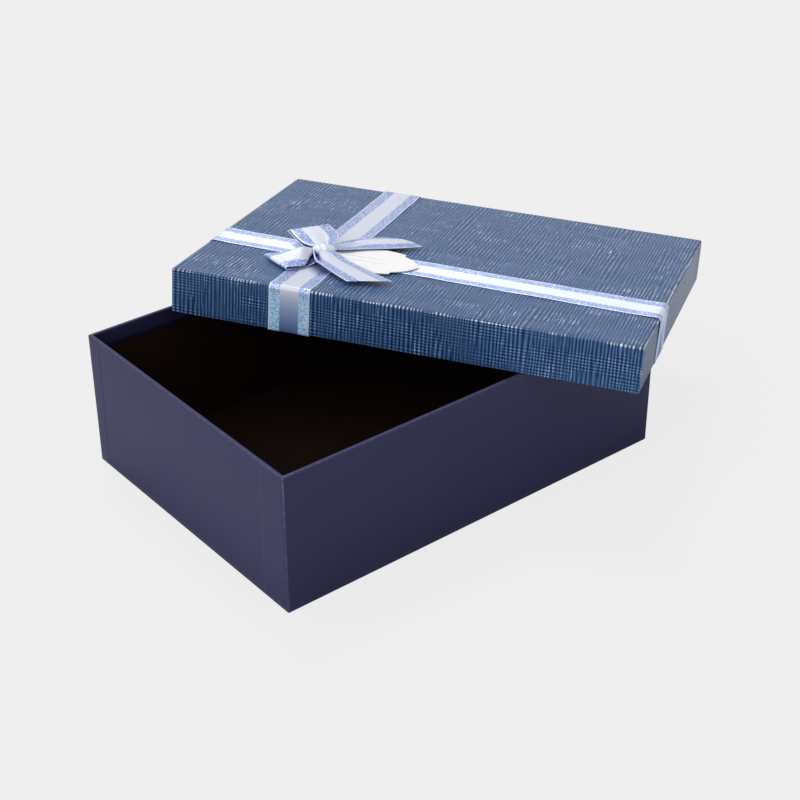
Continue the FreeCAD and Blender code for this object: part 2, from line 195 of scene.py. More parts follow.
def bumped(height, distance, strength):
    """A normal that follows a height from 0 to 1, as if it stood distance metres high."""
    inputs = {"Height": height, "Distance": distance, "Strength": strength}
    return Field(add(height.tree, "Bump", inputs))


def new_material(name):
    """A material with one Principled shader, given back as (material, tree, shader)."""
    material = bpy.data.materials.new(name)
    material.use_nodes = True
    tree = material.node_tree
    return material, tree, tree.nodes["Principled BSDF"]


def plug(shader, **values):
    """Feeds sockets of the shader. Base_Color stands for Base Color, and so on."""
    for name, value in values.items():
        feed(shader.inputs[name.replace("_", " ")], value)


print("node helpers ready")

# %% [markdown]
# ## Floor, world and lamps
#
# The box stands on a pale seamless floor. The world gives soft light from everywhere, and two
# wide sun lamps stand for the big softboxes of a studio: one overhead, and one from the left.
# Together they give a level surface an exposure of one, so a colour renders about as written.
# Part of what the camera sees of the floor is its own even tone, which keeps the shadow faint.

# %% Floor
FLOOR_TONE = srgb(239, 239, 239)
FLOOR_HALF = 12.0
FLOOR_EVEN = 0.93

floor_mesh = bpy.data.meshes.new("floor")
floor_corners = [(-1, -1), (1, -1), (1, 1), (-1, 1)]
floor_points = [(x * FLOOR_HALF, y * FLOOR_HALF, -0.0002) for x, y in floor_corners]
floor_mesh.from_pydata(floor_points, [], [(0, 1, 2, 3)])
floor = bpy.data.objects.new("floor", floor_mesh)
bpy.context.scene.collection.objects.link(floor)

floor_material = bpy.data.materials.new("pale_floor")
floor_material.use_nodes = True
tree = floor_material.node_tree
tree.nodes.clear()
lit = add(tree, "BsdfDiffuse", {"Color": FLOOR_TONE})
even = add(tree, "Emission", {"Color": FLOOR_TONE, "Strength": 1.0})
seen = source(tree, "LightPath", "Is Camera Ray") * FLOOR_EVEN
both = add(tree, "MixShader", {0: seen, 1: Field(lit), 2: Field(even)})
add(tree, "OutputMaterial", {"Surface": Field(both)})
floor_mesh.materials.append(floor_material)
print("floor of", 2 * FLOOR_HALF, "m")

# %% World and lamps
WORLD_LEVEL = 0.46  # how brightly the world lights the box
WORLD_SEEN = 0.9  # and how bright it looks to the camera and in reflections

world = bpy.data.worlds.new("studio")
world.use_nodes = True
bpy.context.scene.world = world
sky = world.node_tree.nodes["Background"]
tree = world.node_tree
rays = add(tree, "LightPath")
direct = maths("MAXIMUM", Field(rays, "Is Camera Ray"), Field(rays, "Is Glossy Ray"))
feed(sky.inputs["Color"], (1.0, 1.0, 1.0, 1.0))
feed(sky.inputs["Strength"], direct * (WORLD_SEEN - WORLD_LEVEL) + WORLD_LEVEL)


def sun(name, towards, strength, spread):
    """A sun lamp that shines from that direction, with a disc spread degrees wide."""
    data = bpy.data.lights.new(name, "SUN")
    data.energy = strength
    data.angle = math.radians(spread)
    lamp = bpy.data.objects.new(name, data)
    lamp.rotation_mode = "QUATERNION"
    lamp.rotation_quaternion = Vector(towards).to_track_quat("Z", "Y")
    bpy.context.scene.collection.objects.link(lamp)


sun("overhead_softbox", (0.2, 0.5, 1.0), 1.12, 12.0)
sun("left_softbox", (-1.0, 0.25, 0.75), 1.25, 70.0)
print("world level", WORLD_LEVEL)

# %% [markdown]
# ## Surface helpers
#
# Each soft skin is a grid of points worked out as a whole array. The helper below turns such a
# grid into one mesh of quads with a UV map in metres, so that a pattern keeps its scale.

# %% Surface helpers
def quads(rows, columns, closed=False):
    """The corner numbers of each quad in a grid; closed joins the last column to the first."""
    index = np.arange(rows * columns).reshape(rows, columns)
    if closed:
        index = np.hstack([index, index[:, :1]])
    corners = [index[:-1, :-1], index[1:, :-1], index[1:, 1:], index[:-1, 1:]]
    return np.stack(corners, axis=-1).reshape(-1, 4)


def make_piece(name, points, faces, body, material, uv=None):
    """A mesh from points and faces, riding on a body. uv has one row for each face corner."""
    mesh = bpy.data.meshes.new(name)
    mesh.from_pydata(points.reshape(-1, 3).tolist(), [], [list(face) for face in faces])
    if uv is not None:
        layer = mesh.uv_layers.new(name="UVMap")
        layer.data.foreach_set("uv", np.asarray(uv, dtype=np.float32).ravel())
    mesh.polygons.foreach_set("use_smooth", [True] * len(mesh.polygons))
    mesh.materials.append(material)
    mesh.update()
    piece = bpy.data.objects.new(name, mesh)
    bpy.context.scene.collection.objects.link(piece)
    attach(piece, body)
    return piece


def mark(piece, name, values):
    """Writes a number for each vertex, which a material reads as the attribute of that name."""
    attribute = piece.data.attributes.new(name, "FLOAT", "POINT")
    attribute.data.foreach_set("value", np.asarray(values, dtype=np.float32).ravel())


def weld(piece):
    """Joins vertices that lie at one place, so that a skin has no slits."""
    shell = bmesh.new()
    shell.from_mesh(piece.data)
    bmesh.ops.remove_doubles(shell, verts=shell.verts, dist=0.001 * MM)
    shell.to_mesh(piece.data)
    shell.free()
    return piece


def thicken(piece, thickness, offset=-1.0):
    """Gives a skin its real thickness. An offset of -1 grows it inwards and 1 outwards."""
    solid = piece.modifiers.new("thickness", "SOLIDIFY")
    solid.thickness = thickness
    solid.offset = offset
    solid.use_even_offset = True
    return piece


def rounded_path(corners, radii, arc_steps, spacing):
    """A path through corners in a plane, each turned on an arc of its own radius.

    An arc is the corner's two tangent points joined by a circle about the point that lies a
    radius from both runs. Straight runs are divided into stretches of about the spacing.
    """
    corners = np.asarray(corners, dtype=float)
    pieces = [corners[:1]]
    for before, corner, after, radius in zip(corners[:-2], corners[1:-1], corners[2:], radii):
        come = (before - corner) / np.linalg.norm(before - corner)
        go = (after - corner) / np.linalg.norm(after - corner)
        half = 0.5 * math.acos(np.clip(come @ go, -1, 1))
        middle = corner + (come + go) / np.linalg.norm(come + go) * radius / math.sin(half)
        start = corner + come * radius / math.tan(half)
        end = corner + go * radius / math.tan(half)
        sweep = np.linspace(0, 1, arc_steps + 1)[:, None]
        angle = math.pi - 2 * half
        first, last = start - middle, end - middle
        arc = (np.sin((1 - sweep) * angle) * first + np.sin(sweep * angle) * last) / math.sin(angle)
        pieces.append(middle + arc)
    pieces.append(corners[-1:])
    path = [pieces[0]]
    for stretch in pieces[1:]:
        gap = stretch[0] - path[-1][-1]
        count = max(1, int(round(np.linalg.norm(gap) / spacing)))
        path.append(path[-1][-1] + gap * (np.arange(1, count) / count)[:, None])
        path.append(stretch)
    return np.vstack(path)


def path_length(path):
    """The distance along a path at each of its points."""
    return np.concatenate([[0.0], np.cumsum(np.linalg.norm(np.diff(path, axis=0), axis=1))])


def mesh_points(node):
    """All vertex positions of a CAD node as an array."""
    flat = np.zeros(3 * len(nodes[node].data.vertices))
    nodes[node].data.vertices.foreach_get("co", flat)
    return flat.reshape(-1, 3)


def finish_nodes(material, names):
    """Gives CAD nodes, whose shape is right as it is, their material."""
    for name in names:
        mesh = nodes[name].data
        mesh.materials.clear()
        mesh.materials.append(material)


print("surface helpers ready")

# %% [markdown]
# ## The lid's own frame
#
# The lid lies turned and tilted, so its pieces are easiest to shape in a frame of its own, with x
# along the lid, y across it and z towards its top, and the origin in the middle of its lower rim.
# The frame can be measured from the lid's flat top board: the directions in which its corners
# spread most, less and least are the lid's length, width and thickness.

# %% Measure the lid's frame
def spread_axes(node):
    """The directions of a board's length, width and thickness, from how its corners spread."""
    corners = np.unique(np.round(mesh_points(node), 6), axis=0)
    middle = (corners.max(axis=0) + corners.min(axis=0)) / 2
    _, _, axes = np.linalg.svd(corners - middle)
    along = axes[0] * np.sign(axes[0][0])
    up = axes[2] * np.sign(axes[2][2])
    return np.array([along, np.cross(up, along), up])


lid_axes = spread_axes("lid_top_board")
in_axes = mesh_points("lid_wrap_paper") @ lid_axes.T
lid_low, lid_high = in_axes.min(axis=0), in_axes.max(axis=0)
LID_LENGTH, LID_WIDTH, LID_HEIGHT = lid_high - lid_low
lid_origin = np.array([(lid_low[0] + lid_high[0]) / 2, (lid_low[1] + lid_high[1]) / 2, lid_low[2]])


def on_lid(points):
    """Points given in the lid's frame, moved to where the lid lies."""
    return (np.asarray(points) + lid_origin) @ lid_axes


def lid_points(node):
    """The vertices of a CAD node in the lid's frame."""
    return mesh_points(node) @ lid_axes.T - lid_origin


def in_lid(node):
    """The lowest and highest corner of a CAD node in the lid's frame."""
    own = lid_points(node)
    return own.min(axis=0), own.max(axis=0)


print("lid", np.round([LID_LENGTH, LID_WIDTH, LID_HEIGHT], 4), "axes", np.round(lid_axes, 3).tolist())

# %% [markdown]
# ## Navy paper of the base
#
# The base is wrapped in a plain dyed paper with a faint tooth. It is nearly matt, shows its pulp a
# little where a fold has been rubbed, and is scuffed palest at the rim and at the upright
# corners; there the pale tone is also a painted highlight, strongest near the top of each upright
# edge. Two sizes of noise give the tooth and the slight unevenness of the dye, and an attribute on
# the mesh, 1 on a fold and 0 away from it, brings in that pale tone of wear and painted highlight.

# %% Navy paper
NAVY = srgb(49, 48, 87)
NAVY_DEEP = srgb(42, 42, 77)
# The pale tone of scuffs, which on the rim and uprights is also a painted highlight.
NAVY_WORN_LIT = srgb(112, 118, 150)


def navy_paper():
    material, tree, shader = new_material("navy_paper")
    place = source(tree, "TexCoord", "Object")
    clouds = noise(place, 28.0, detail=3.0)
    fibres = noise(place, 900.0, detail=3.0, roughness=0.6)
    worn_and_lit = source(tree, "Attribute", "Fac", attribute_name="wear_and_highlight")
    # Where the pale tone shows through the fibres: scuffing, and on the rim and uprights a painted
    # highlight.
    rubbed_and_lit = worn_and_lit * stepped(fibres, 0.30, 0.80)
    colour = mixed(rubbed_and_lit, mixed(clouds, NAVY_DEEP, NAVY), NAVY_WORN_LIT)
    plug(shader, Base_Color=colour, Roughness=clouds * 0.16 + 0.42, Specular_IOR_Level=0.2)
    plug(shader, Normal=bumped(fibres, 0.04 * MM, 0.5))
    return material


navy = navy_paper()
print("made", navy.name)

# %% [markdown]
# ## Wrapped paper shells
#
# The paper of either half is one skin: it comes up inside the wall, turns over the rim, runs down
# the outside and turns again at the far edge. So its section is one path, and the skin is that
# path carried round the box. Where the long side's paper is folded round an upright corner, the
# short side's paper covers its end, which shows as a faint raised flap with an upright edge.

# %% Shell helpers
ARC_STEPS = 5


def side_fractions(dense_ends, length, flap=24 * MM, fine=0.8 * MM, coarse=8 * MM):
    """Stations along one side from 0 to 1, close together near both ends where asked."""
    if not dense_ends:
        return np.linspace(0, 1, max(2, int(length / coarse)))
    near = np.arange(0, flap, fine) / length
    middle = np.linspace(near[-1], 1 - near[-1], max(3, int(length / coarse)))[1:-1]
    return np.concatenate([near, middle, 1 - near[::-1]])


def ring_stations(length, width):
    """The stations round a box seen from above, as (corner before, corner after, fraction, angle, side).

    A station on a side lies between two corner centres at a fixed angle. A station on a corner
    lies at the corner's centre, with its angle part of the way round the quarter turn.
    """
    signs = np.array([(-1, -1), (1, -1), (1, 1), (-1, 1)])
    rows = []
    for side in range(4):
        start, end = signs[side], signs[(side + 1) % 4]
        face = math.radians(90 * side - 90)
        run = length if side % 2 == 0 else width
        for fraction in side_fractions(side % 2 == 1, run):
            rows.append((*start, *end, fraction, face, side))
        for step in range(1, ARC_STEPS):
            turn = face + math.radians(90 * step / ARC_STEPS)
            rows.append((*end, *end, 0.0, turn, side + 0.5))
    return np.array(rows).T


def shell_grid(stations, length, width, radius, section, swell):
    """The section, rows of (inset, height), carried round the stations.

    A point is its corner centre plus the corner radius, less the inset, along the station's angle.
    Swell moves it outwards, and is a function of where the station is and of the height.
    """
    ax, ay, bx, by, fraction, angle, side = stations
    inset, height = section[:, :1], section[:, 1:]
    turn = np.maximum(radius - inset, 0.0)
    centre_x = length / 2 - inset - turn
    centre_y = width / 2 - inset - turn
    normal_x, normal_y = np.cos(angle), np.sin(angle)
    x = ((1 - fraction) * ax + fraction * bx) * centre_x + turn * normal_x
    y = ((1 - fraction) * ay + fraction * by) * centre_y + turn * normal_y
    out = swell(x, y, height, side)
    return np.stack([x + out * normal_x, y + out * normal_y, height + 0 * x], axis=-1)


def smooth_step(value, low, high):
    """0 below low and 1 above high, with a smooth rise between."""
    t = np.clip((value - low) / (high - low), 0, 1)
    return t * t * (3 - 2 * t)


def slow_waves(x, y, z):
    """A few long sine waves added up, between about -1 and 1."""
    first = np.sin(41 * x + 23 * y + 9 * z + 0.7)
    second = np.sin(-29 * x + 37 * y + 31 * z + 2.1)
    third = np.sin(17 * x - 53 * y + 47 * z + 4.0)
    return (first + second + third) / 3


def wall_swell(place, side, size, foot, head, waves, flap_end, flap_step):
    """How far a wall's paper stands proud: slow waves, and a raised flap beside each corner.

    It sets in over the two heights in foot, and dies away over the two depths in head, measured
    down from the top. On the end walls the flap reaches flap_end in from the corner.
    """
    x, y, height = place
    length, width, top = size
    on_wall = smooth_step(height, *foot) * smooth_step(top - height, *head)
    from_corner = width / 2 - np.abs(y)
    flap = 1 - smooth_step(from_corner, flap_end - 0.9 * MM, flap_end + 0.6 * MM)
    on_end = (np.abs(side % 2 - 1) < 0.1) * smooth_step(from_corner, 0.5 * MM, 2.5 * MM)
    outside = np.abs(x) > length / 2 - 1.5 * MM
    return on_wall * (waves * slow_waves(x, y, height) + flap_step * flap * on_end * outside)


def shell_uv(points, drop, stations, faces):
    """UVs of a shell as if its sheet lay flat: each side folds out from the top by its drop."""
    rows, columns = points.shape[:2]
    side = np.round(stations[6]).astype(int) % 4
    face_side = side[np.arange(len(faces)) % columns][:, None]
    x, y = points[..., 0].ravel()[faces], points[..., 1].ravel()[faces]
    fall = np.repeat(drop, columns)[faces]
    u = np.where(face_side == 1, x + fall, np.where(face_side == 3, x - fall, x))
    v = np.where(face_side == 0, y - fall, np.where(face_side == 2, y + fall, y))
    return np.stack([u, v], axis=-1)


print("shell helpers ready")

# %% [markdown]
# ## The base's paper
#
# The outside of the base is almost flat, yet a hand-made box is never quite true: its paper
# stands off the board by a tenth of a millimetre here and there. A few slow waves give that, and
# the flap's end is a smooth step about a fifth of a millimetre high, 11 mm from the back corners
# and 21 mm from the front ones.

# %% Base paper
base_low, base_high = np.array(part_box("base_wrap_paper"))
BASE_LENGTH, BASE_WIDTH, BASE_HEIGHT = base_high - base_low
lining_low, lining_high = np.array(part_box("base_wall_lining"))
under_low, under_high = np.array(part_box("base_underside_paper"))
PAPER = under_high[2] - under_low[2]
BASE_WALL = lining_low[0] - base_low[0] + PAPER
BASE_TURN_IN = BASE_HEIGHT - lining_high[2]
TURN_UNDER = under_low[0] - base_low[0]
CORNER_RADIUS = 1.0 * MM
FLAP_WIDTH = 11 * MM
FRONT_FLAP_WIDTH = 21 * MM
FLAP_STEP = 0.22 * MM


def base_swell(x, y, height, side):
    edge = np.where(y < 0, FRONT_FLAP_WIDTH, FLAP_WIDTH)
    edge = edge + 1.2 * MM * np.sin(30 * height + 5 * np.sign(y))
    size = (BASE_LENGTH, BASE_WIDTH, BASE_HEIGHT)
    foot, head = (2 * MM, 5 * MM), (0.5 * MM, 3 * MM)
    return wall_swell((x, y, height), side, size, foot, head, 0.07 * MM, edge, FLAP_STEP)


def base_paper():
    corners = [
        (BASE_WALL, BASE_HEIGHT - BASE_TURN_IN),
        (BASE_WALL, BASE_HEIGHT),
        (0.0, BASE_HEIGHT),
        (0.0, 0.0),
        (TURN_UNDER, 0.0),
    ]
    section = rounded_path(corners, (0.6 * MM, 1.0 * MM, 0.7 * MM), ARC_STEPS, 4 * MM)
    stations = ring_stations(BASE_LENGTH, BASE_WIDTH)
    points = shell_grid(stations, BASE_LENGTH, BASE_WIDTH, CORNER_RADIUS, section, base_swell)
    faces = quads(*points.shape[:2], closed=True)
    piece = make_piece("base_paper", points, faces, "base", navy)
    inset, height = section[:, 0], section[:, 1]
    # Pale on the rim, the foot and the upright edges: scuffing, and on the rim and uprights also a
    # painted highlight.
    rim = np.clip(1 - np.hypot(inset - 0.5 * MM, height - BASE_HEIGHT) / (1.2 * MM), 0, 1)
    foot = 0.5 * np.clip(1 - np.hypot(inset, height) / (1.4 * MM), 0, 1)
    outside = inset < 0.9 * BASE_WALL
    upright = outside[:, None] * (np.abs(stations[6] % 1 - 0.5) < 0.1)[None, :]
    near_rim = smooth_step(height, 0.55 * BASE_HEIGHT, 0.98 * BASE_HEIGHT)[:, None]
    worn_and_lit = np.maximum((0.5 * rim + foot)[:, None], (0.45 + 0.5 * near_rim) * upright)
    mark(piece, "wear_and_highlight", worn_and_lit)
    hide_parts("base_wrap_paper")
    return thicken(weld(piece), PAPER)


base_skin = base_paper()
finish_nodes(navy, ["base_underside_paper"])
print("base paper", len(base_skin.data.polygons), "quads")

# %% [markdown]
# ## Dark linings and greyboard
#
# The inside of the base is lined with an uncoated paper, so dark a brown that it is nearly black.
# The hidden boards and stay tapes get the look of their stuff too, so that the model is right
# when it is cut open.

# %% Linings, board and tape
def dark_lining():
    material, tree, shader = new_material("dark_lining")
    place = source(tree, "TexCoord", "Object")
    colour = mixed(noise(place, 22.0, detail=3.0), srgb(31, 18, 14), srgb(44, 27, 21))
    plug(shader, Base_Color=colour, Roughness=0.9, Specular_IOR_Level=0.12)
    plug(shader, Normal=bumped(noise(place, 1100.0), 0.05 * MM, 0.4))
    return material


def greyboard():
    material, tree, shader = new_material("greyboard")
    place = source(tree, "TexCoord", "Object")
    pulp = noise(place, 350.0, detail=4.0, roughness=0.7)
    specks = stepped(noise(place, 1500.0), 0.68, 0.74)
    colour = mixed(pulp, srgb(128, 123, 114), srgb(160, 155, 146))
    colour = mixed(specks, colour, srgb(92, 88, 84))
    plug(shader, Base_Color=colour, Roughness=0.95, Specular_IOR_Level=0.1)
    plug(shader, Normal=bumped(pulp, 0.08 * MM, 0.6))
    return material


def stay_tape():
    material, tree, shader = new_material("stay_tape")
    fibres = noise(source(tree, "TexCoord", "Object"), (200.0, 200.0, 1600.0), detail=3.0)
    colour = mixed(fibres, srgb(158, 122, 82), srgb(190, 156, 112))
    plug(shader, Base_Color=colour, Roughness=0.7, Specular_IOR_Level=0.3)
    plug(shader, Normal=bumped(fibres, 0.03 * MM, 0.5))
    return material


stuffs = (("_lining", dark_lining()), ("_board", greyboard()), ("_tapes", stay_tape()))
for ending, stuff in stuffs:
    names = [name for name in nodes if name.endswith(ending)]
    finish_nodes(stuff, names)
    print("finished", len(names), "nodes in", stuff.name)

# %% [markdown]
# ## Linen print of the lid
#
# The lid's paper is printed and embossed to look like slubby blue linen. Fine threads 2 to 2.6 mm
# apart run across the lid, pale on top and navy between. In cloudy patches a second set crosses
# them like a plaid, mostly on the walls, and elsewhere the print fades to a plain grey blue. On
# the lid's top the print is also painted lighter and greyer than on the walls, as painted light
# and painted sheen.
# The pattern is worked out from the sheet's own flat coordinates in millimetres: sine waves for
# the threads, pushed about by noise so that no two are alike, and long thin noise for the slubs.

# %% Linen print
LINEN_STOPS = [
    (0.00, (4, 24, 58)),
    (0.26, (16, 44, 84)),
    (0.45, (37, 71, 115)),
    (0.60, (62, 98, 144)),
    (0.76, (94, 128, 172)),
    (0.90, (150, 174, 210)),
    (1.00, (212, 224, 244)),
]
# How much lighter the print is painted on the lid's top than on its walls: painted light.
TOP_PAINTED_LIGHTER = 1.23


def threads(place, wobble, pitch):
    """0 between two threads and 1 on one: a sine of place plus its wobble, with steep flanks."""
    wave = maths("SINE", (place + wobble) * (2 * math.pi / pitch))
    return stepped(wave, -0.75, 0.75)


def within(place, width):
    """1 inside a stripe of that width, in metres, about place 0 in millimetres, and 0 outside it."""
    half = 0.5 * width / MM
    return stepped(maths("ABSOLUTE", place), half + 1.0, half - 1.0)


def linen_print():
    material, tree, shader = new_material("linen_print_paper")
    flat = scaled(source(tree, "UVMap", "UV", uv_map="UVMap"), (1000.0, 1000.0, 1.0))
    u, v, _ = parts(flat)
    on_top = within(u, LID_LENGTH) * within(v, LID_WIDTH)

    drift = noise(flat, (0.06, 0.006, 1.0)) * 5.0
    choose = stepped(noise(flat, (0.045, 0.012, 1.0)), 0.47, 0.53)
    rib = blend(choose, threads(u, drift, 2.6), threads(u, drift, 1.95))
    slubs = noise(flat, (1.1, 0.09, 1.0), roughness=0.6)
    hair = stepped(noise(flat, (2.6, 0.09, 1.0), detail=1.0), 0.56, 0.74)
    cluster = stepped(noise(flat, (0.025, 0.03, 1.0)), 0.48, 0.62)
    hair = hair * (cluster * 0.56 + 0.08) * (on_top * 0.45 + 0.55)
    warp = rib * 0.44 + slubs * 0.56 - 0.07 + hair

    weft = threads(v, noise(flat, (0.006, 0.08, 1.0)) * 4.0, 1.9)
    patch = stepped(noise(flat, (0.022, 0.07, 1.0)) - on_top * 0.05, 0.39, 0.50)
    weave = warp + patch * (weft - 0.50) * 0.37

    clouds = stepped(noise(flat, (0.030, 0.040, 1.0), detail=3.0, roughness=0.6), 0.46, 0.68)
    calm = on_top * 0.22 + 0.84 - clouds * 0.45
    height = (weave - 0.45) * calm + 0.475 - on_top * 0.025
    # The print fades to grey blue in random clouds, and over the whole top as a painted sheen.
    haze = clouds * 0.26 + on_top * 0.22
    colour = mixed(haze, ramp(height, LINEN_STOPS), srgb(76, 97, 132))
    blots = stepped(noise(flat, (0.035, 0.06, 1.0)), 0.56, 0.68) * (on_top * 0.28 + 0.06)
    colour = mixed(blots, colour, srgb(84, 104, 158))
    # Painted light: the whole top lighter than the walls.
    lit_top = {"Color": colour, "Saturation": 0.97, "Value": TOP_PAINTED_LIGHTER}
    colour = mixed(on_top, colour, Field(add(tree, "HueSaturation", lit_top)))
    # Painted glints: pale specks on the raised threads along the top's edges.
    fold = source(tree, "Attribute", "Fac", attribute_name="fold")
    patchy = stepped(noise(flat, (0.04, 0.04, 1.0), detail=1.0), 0.42, 0.52)
    painted_glints = fold * stepped(height, 0.50, 0.72) * patchy
    colour = mixed(painted_glints, colour, srgb(244, 248, 255))
    relief = bumped(height, 0.25 * MM, 0.6)
    plug(shader, Base_Color=colour, Roughness=0.36 - height * 0.14, IOR=1.22, Normal=relief)
    return material


linen = linen_print()
print("made", linen.name)

# %% [markdown]
# ## The lid's paper
#
# The lid's skin is made as the base's is, but upside down and with its top closed: the section
# starts a little way in from the top's edge, rounds over it, runs down the wall, turns round the
# rim and goes up inside. It stands off the board by a hair, which leaves room for a rounder edge
# than the board's own. The flat middle of the top is a plain grid whose edge meets the first
# ring of the section, so the two are welded into one skin. An attribute, 1 along the top's edges,
# places pale specks on the raised threads there: painted glints where the paper bends over.

# %% Lid paper
lid_lining_low, _ = in_lid("lid_wall_lining")
LID_WALL = lid_lining_low[0] + LID_LENGTH / 2 + PAPER
LID_TURN_IN = lid_lining_low[2]
LID_EDGE_RADIUS = 1.6 * MM
TOP_MARGIN = 8 * MM
PUFF = 0.15 * MM


def lid_swell(x, y, height, side):
    size = (LID_LENGTH, LID_WIDTH, LID_HEIGHT)
    foot, head = (1 * MM, 4 * MM), (1.5 * MM, 5 * MM)
    return wall_swell((x, y, height), side, size, foot, head, 0.06 * MM, 10.9 * MM, 0.15 * MM)


def lid_paper():
    corners = [
        (TOP_MARGIN, LID_HEIGHT + PUFF),
        (-PUFF, LID_HEIGHT + PUFF),
        (-PUFF, 0.0),
        (LID_WALL, 0.0),
        (LID_WALL, LID_TURN_IN),
    ]
    radii = (LID_EDGE_RADIUS, 0.9 * MM, 0.7 * MM)
    section = rounded_path(corners, radii, ARC_STEPS + 1, 3 * MM)
    stations = ring_stations(LID_LENGTH, LID_WIDTH)
    points = shell_grid(stations, LID_LENGTH, LID_WIDTH, 1.3 * MM, section, lid_swell)
    faces = quads(*points.shape[:2], closed=True)
    drop = np.maximum(path_length(section) - TOP_MARGIN, 0)
    uv = shell_uv(points, drop, stations, faces)
    along = points[0][stations[6] == 0][:, 0]
    across = points[0][stations[6] == 1][:, 1]
    x, y = np.meshgrid(along, across, indexing="ij")
    top = np.stack([x, y, np.full_like(x, LID_HEIGHT + PUFF)], axis=-1)
    top_faces = quads(*x.shape)
    top_uv = top.reshape(-1, 3)[top_faces][..., :2]
    places = on_lid(np.vstack([points.reshape(-1, 3), top.reshape(-1, 3)]))
    faces = np.vstack([faces, top_faces + points[..., 0].size])
    uv = np.vstack([uv, top_uv])
    piece = make_piece("lid_paper", places, faces, "lid", linen, uv)
    # Where the painted glints go: 1 on the bend of the top's edges.
    from_edge = np.hypot(section[:, 0] + PUFF, section[:, 1] - LID_HEIGHT - PUFF)
    on_fold = np.clip(1.6 - from_edge / (1.0 * MM), 0, 1)
    mark(piece, "fold", np.concatenate([np.repeat(on_fold, points.shape[1]), np.zeros(x.size)]))
    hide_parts("lid_wrap_paper")
    return thicken(weld(piece), PAPER)


lid_skin = lid_paper()
print("lid paper", len(lid_skin.data.polygons), "quads")

# %% [markdown]
# ## Ribbon
#
# All the ribbon on this box is one kind, 26 mm wide: a pale satin middle between two bands with a
# fine blue glitter, and a white woven edge on either side. The stripes follow the cloth round
# every bend, so the pattern reads the UV map, in which u runs from 0 to 1 across the ribbon and v
# is the distance along it in metres. The glitter is a set of small random cells, each a flake of
# its own height and shine; the satin is smooth with very fine cross ribs. Two attributes on the
# mesh paint light and shade. One grows down each wall: there the satin is painted darker blue
# towards the bottom as painted shade, and the glitter icy blue as a painted reflection. The
# other is a painted shadow on the ribbon beside the bow's front tail, and painted shade deep in
# the bow's creases.

# %% Ribbon material
EDGE_SHARE = 0.035
BAND_SHARE = 0.27


def glitter_colour(chance, wall_shading):
    """The bands' flakes: lilac blue on top, icy blue down the walls as a painted reflection."""
    soft = [(0, (112, 134, 200)), (0.45, (146, 166, 220)), (0.8, (184, 198, 236)), (1, (238, 244, 255))]
    icy = [(0, (84, 142, 232)), (0.3, (154, 206, 255)), (0.75, (200, 234, 255)), (1, (238, 250, 255))]
    return mixed(stepped(wall_shading, 0.0, 0.12), ramp(chance, soft), ramp(chance, icy))


def silk_colour(flat, wall_shading):
    """The satin middle: nearly white on top, and painted shade, darker blue, down the walls."""
    pale = mixed(noise(flat, (0.6, 0.05, 1.0)), srgb(214, 220, 236), srgb(228, 233, 246))
    shaded_silk = [(0, (224, 228, 238)), (0.14, (200, 214, 240)), (0.5, (148, 170, 216)), (1, (84, 114, 168))]
    return mixed(stepped(wall_shading, 0.0, 0.1), pale, ramp(wall_shading, shaded_silk))


def ribbon_satin():
    material, tree, shader = new_material("ribbon")
    sheet = source(tree, "UVMap", "UV", uv_map="UVMap")
    across, along, _ = parts(sheet)
    from_edge = maths("MINIMUM", across, 1.0 - across)
    middle = stepped(from_edge, BAND_SHARE - 0.008, BAND_SHARE + 0.008)
    inside = stepped(from_edge, EDGE_SHARE - 0.006, EDGE_SHARE + 0.006)
    # How far down a wall the ribbon is: painted shade on the satin, painted reflection on the glitter.
    wall_shading = source(tree, "Attribute", "Fac", attribute_name="wall_shading")
    painted_shade = source(tree, "Attribute", "Fac", attribute_name="painted_shade")

    flat = scaled(sheet, (26.0, 1000.0, 1.0))
    flakes = Field(add(tree, "TexVoronoi", {"Vector": flat, "Scale": 1.6}), "Color")
    chance = parts(flakes)[0]
    colour = mixed(middle, glitter_colour(chance, wall_shading), silk_colour(flat, wall_shading))
    colour = mixed(inside, srgb(214, 224, 248), colour)
    # Painted shade in deep blue: a painted shadow beside the bow's front tail, and in the bow's creases.
    colour = mixed(painted_shade, colour, srgb(24, 50, 132))

    weave = maths("SINE", along * (2 * math.pi / (0.45 * MM))) * 0.12 + 0.5
    in_band = (1.0 - middle) * inside
    relief = in_band * chance * 0.9 + weave
    shine = chance * 0.3 + 0.28 - stepped(wall_shading, 0.0, 0.12) * 0.30
    rough = blend(middle, 0.45 - chance * 0.15, 0.55)
    grain = source(tree, "Tangent", "Tangent", direction_type="UV_MAP", uv_map="UVMap")
    plug(shader, Base_Color=colour, Roughness=rough, Metallic=blend(middle, shine, 0.30))
    plug(shader, Anisotropic=0.9, Tangent=grain, Sheen_Weight=0.3, Sheen_Roughness=0.3)
    plug(shader, Normal=bumped(relief, 0.12 * MM, 0.5))
    return material


ribbon = ribbon_satin()
print("made", ribbon.name)

# %% [markdown]
# ## Ribbons round the lid
#
# Each ribbon starts glued inside the rim, turns round it, climbs the wall, crosses the top and
# goes down the other side in the same way. Ribbon under light tension doesn't follow a sharp
# edge: it stands off a little there and turns on a wider bend than the board. Its path is drawn in
# the upright plane along it, and the surface is that path moved sideways across the width.

# %% Ribbons round the lid
RIBBON_BEND = 2.6 * MM
RIBBON_LIFT = 0.7 * MM
REST = PUFF + 0.05 * MM
RIBBON_CLOTH = 0.3 * MM
SLANT = 2.9 * MM
ACROSS = 40
knot_low, knot_high = in_lid("bow_knot")
KNOT_PLAN = (knot_low[:2] + knot_high[:2]) / 2
# The painted shadow that the bow's front tail casts on the ribbon: its line from the knot, and its
# reach.
SHADOW_START = np.array([0.0, -14.0]) * MM
SHADOW_END = np.array([11.0, -26.0]) * MM
SHADOW_REACH = 8 * MM


